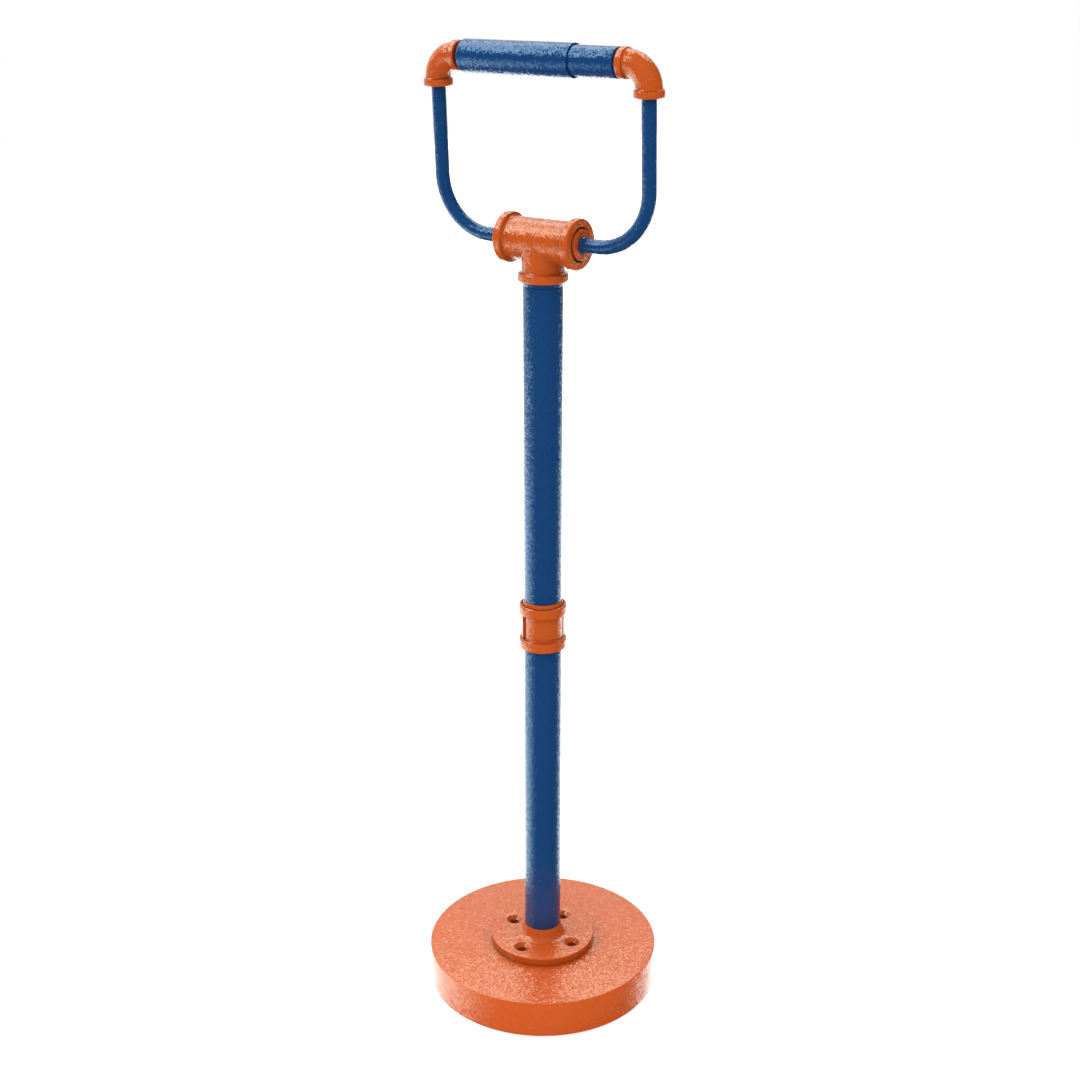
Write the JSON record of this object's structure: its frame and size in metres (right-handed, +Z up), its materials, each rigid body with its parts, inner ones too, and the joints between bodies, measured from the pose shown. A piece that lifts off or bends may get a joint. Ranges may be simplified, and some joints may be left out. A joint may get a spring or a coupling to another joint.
{
  "type": "free-standing toilet roll stand",
  "caption": "Free-standing toilet roll stand in pipe-fitting style: weighted round base, upright pole, tee, bent arms and a sprung roller between elbows.",
  "frame": {"origin": "centre of the base's underside, on the floor", "axes": "+Z up the pole, +X along the tee and the roller, towards the roller's narrower tube, +Y away from the side that the yoke leans to"},
  "size_m": [0.1842, 0.172, 0.6897],
  "materials": {
    "orange_coat": "satin powder coat with a fine orange-peel texture",
    "blue_coat": "satin powder coat with a fine orange-peel texture",
    "plated_steel": "zinc plated",
    "cast_weight": "as cast, sealed",
    "pad_rubber": "matte foam rubber",
    "black_nylon": "moulded nylon"
  },
  "bodies": {
    "stand": {"base_pad": "pad_rubber", "base_shell": "orange_coat", "base_weight": "cast_weight", "base_bolt": "plated_steel", "base_lock_washer": "plated_steel", "base_washer": "plated_steel", "floor_flange": "orange_coat", "lower_pole_foot_insert": "plated_steel", "lower_pole": "blue_coat", "lower_pole_top_adaptor": "plated_steel", "coupling": "orange_coat", "upper_pole_foot_adaptor": "orange_coat", "upper_pole": "blue_coat", "upper_pole_top_adaptor": "blue_coat", "tee": "orange_coat", "tee_plug_left": "orange_coat", "tee_plug_right": "orange_coat"},
    "yoke": {"arm_left": "blue_coat", "arm_right": "blue_coat", "arm_collar_left": "blue_coat", "arm_collar_right": "blue_coat", "arm_washer_left": "plated_steel", "arm_washer_right": "plated_steel", "arm_nut_left": "plated_steel", "arm_nut_right": "plated_steel", "elbow_left": "orange_coat", "elbow_right": "orange_coat", "pin_bush_left": "black_nylon", "pin_bush_right": "black_nylon"},
    "roller_outer": {"roller_outer_tube": "blue_coat", "roller_pin_left": "plated_steel", "roller_spring": "plated_steel"},
    "roller_inner": {"roller_inner_tube": "blue_coat", "roller_pin_right": "plated_steel", "roller_spring_seat": "black_nylon"}
  },
  "joints": [
    {"name": "yoke_swivel", "type": "hinge", "parent": "stand", "child": "yoke", "pos_m": [0, 0, 0.5634], "axis": [1, 0, 0], "range_deg": [-32.5, 27.5]},
    {"name": "roller_spin", "type": "hinge", "parent": "yoke", "child": "roller_outer", "pos_m": [0, -0.00504, 0.67889], "axis": [1, 0, 0], "continuous": true},
    {"name": "roller_compress", "type": "slide", "parent": "roller_outer", "child": "roller_inner", "axis": [1, 0, 0], "range_m": [-0.01, 0], "stiffness_N_per_m": 300, "springref_m": 0.012, "deforming": ["roller_spring"]}
  ]
}
